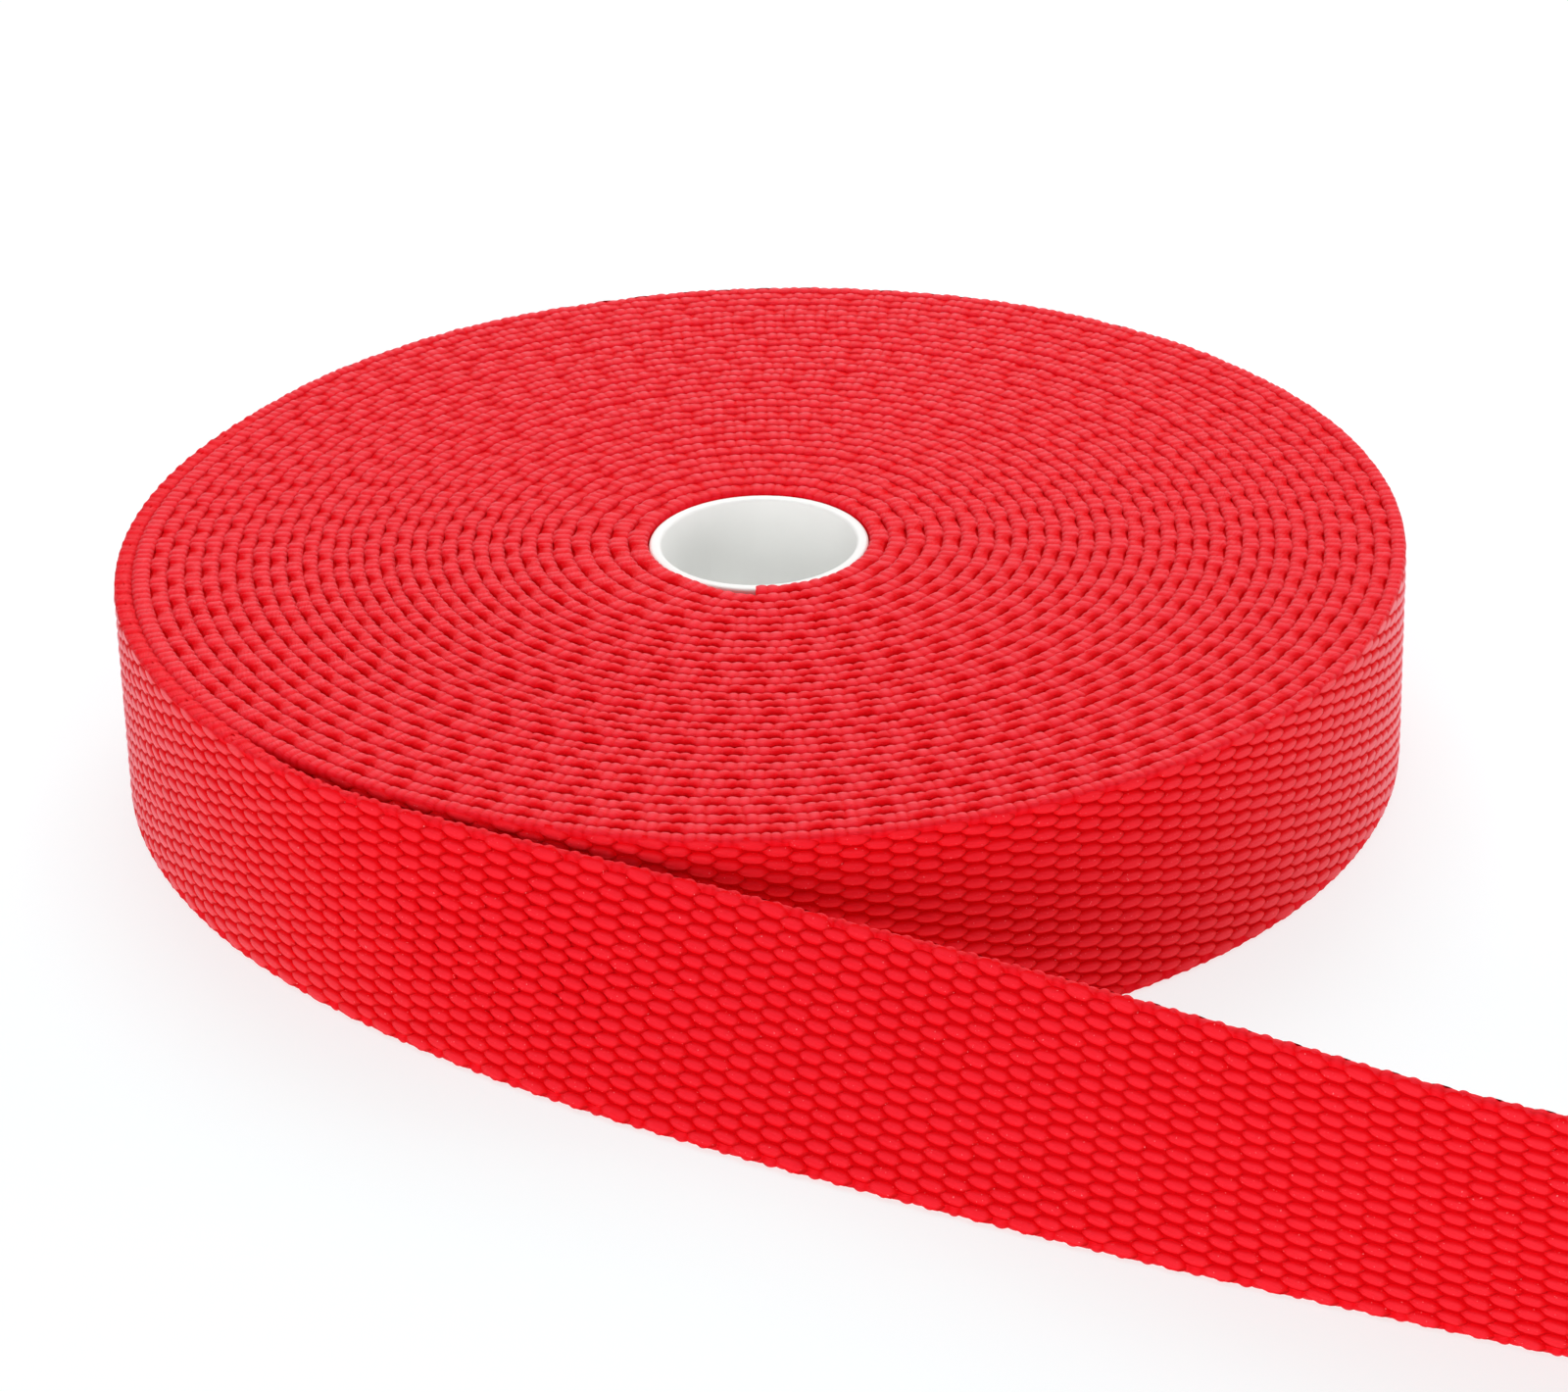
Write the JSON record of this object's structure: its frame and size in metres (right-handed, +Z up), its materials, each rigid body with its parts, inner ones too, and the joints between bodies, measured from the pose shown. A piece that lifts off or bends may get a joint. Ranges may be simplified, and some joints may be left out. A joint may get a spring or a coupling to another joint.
{
  "type": "roll of webbing",
  "caption": "Flat roll of woven nylon webbing wound on a short white tube, its outer end pulled loose and standing on its edge.",
  "frame": {"origin": "centre of the bounding box at the surface that the roll lies on", "axes": "+Z up along the roll's axis, +Y from the loose end's cut edge towards the back of the roll, +X to the right seen from the front"},
  "size_m": [0.1508, 0.1982, 0.025],
  "materials": {
    "webbing": "woven nylon, red, satin sheen",
    "tube": "smooth white plastic"
  },
  "bodies": {
    "root": {"webbing_roll": "webbing", "loose_end": "webbing", "core_tube": "tube"}
  },
  "joints": []
}
